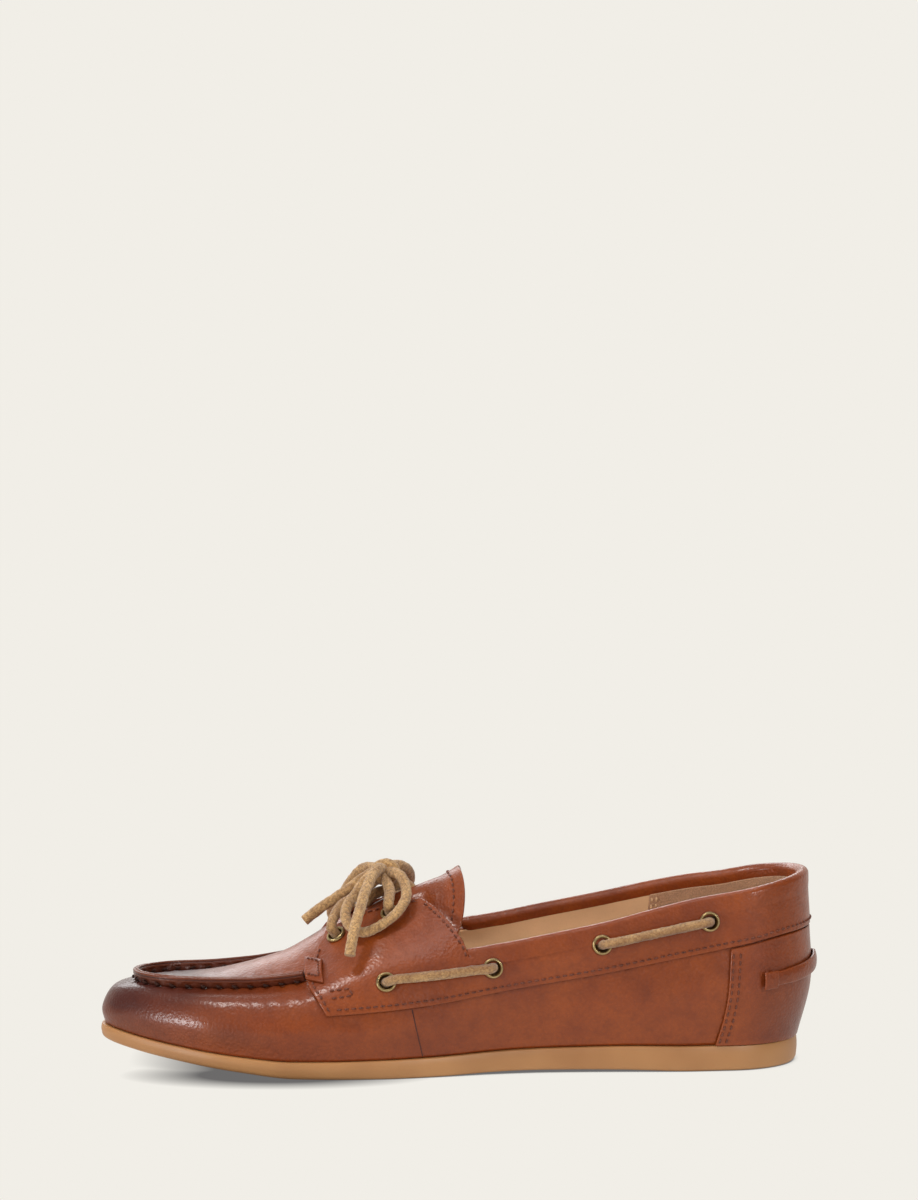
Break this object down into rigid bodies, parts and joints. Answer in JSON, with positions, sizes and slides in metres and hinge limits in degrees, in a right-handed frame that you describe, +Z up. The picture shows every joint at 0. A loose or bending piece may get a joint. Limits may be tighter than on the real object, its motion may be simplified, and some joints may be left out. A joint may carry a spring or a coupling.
{
  "type": "boat shoe",
  "caption": "Low leather boat shoe for the left foot: hollow lasted upper with hand-sewn apron, saddle overlay, side lacing through brass eyelets, bow and gum sole.",
  "frame": {"origin": "centre of the bounding box in X and Y, on the floor under the sole", "axes": "+X towards the heel, -X towards the toe, -Y towards the outer side of the foot, +Z up"},
  "size_m": [0.264, 0.0859, 0.0745],
  "materials": {
    "burnished leather": "burnished, soft shine with fine grain",
    "dark leather": "burnished darker, soft shine",
    "gum rubber": "smooth satin gum rubber",
    "lining leather": "smooth matt lining leather",
    "antique brass": "aged, softly polished on the rims",
    "rawhide lace": "napped suede"
  },
  "bodies": {
    "root": {"outsole": "gum rubber", "insole": "lining leather", "upper": "burnished leather", "saddle": "burnished leather", "tongue": "burnished leather", "heel_counter": "burnished leather", "heel_strap": "dark leather", "moc_ridge": "dark leather", "collar_roll": "burnished leather", "eyelet_outer_front_a": "antique brass", "eyelet_outer_front_b": "antique brass", "eyelet_outer_rear_a": "antique brass", "eyelet_outer_rear_b": "antique brass", "eyelet_outer_throat_low": "antique brass", "eyelet_outer_throat_high": "antique brass", "eyelet_inner_front_a": "antique brass", "eyelet_inner_front_b": "antique brass", "eyelet_inner_rear_a": "antique brass", "eyelet_inner_rear_b": "antique brass", "eyelet_inner_throat_low": "antique brass", "eyelet_inner_throat_high": "antique brass", "side_lace_outer_front": "rawhide lace", "side_lace_outer_rear": "rawhide lace", "side_lace_inner_front": "rawhide lace", "side_lace_inner_rear": "rawhide lace", "bow_knot": "rawhide lace", "bow_loop_outer": "rawhide lace", "bow_loop_inner": "rawhide lace", "bow_end_hanging": "rawhide lace", "bow_end_free": "rawhide lace"}
  },
  "joints": []
}
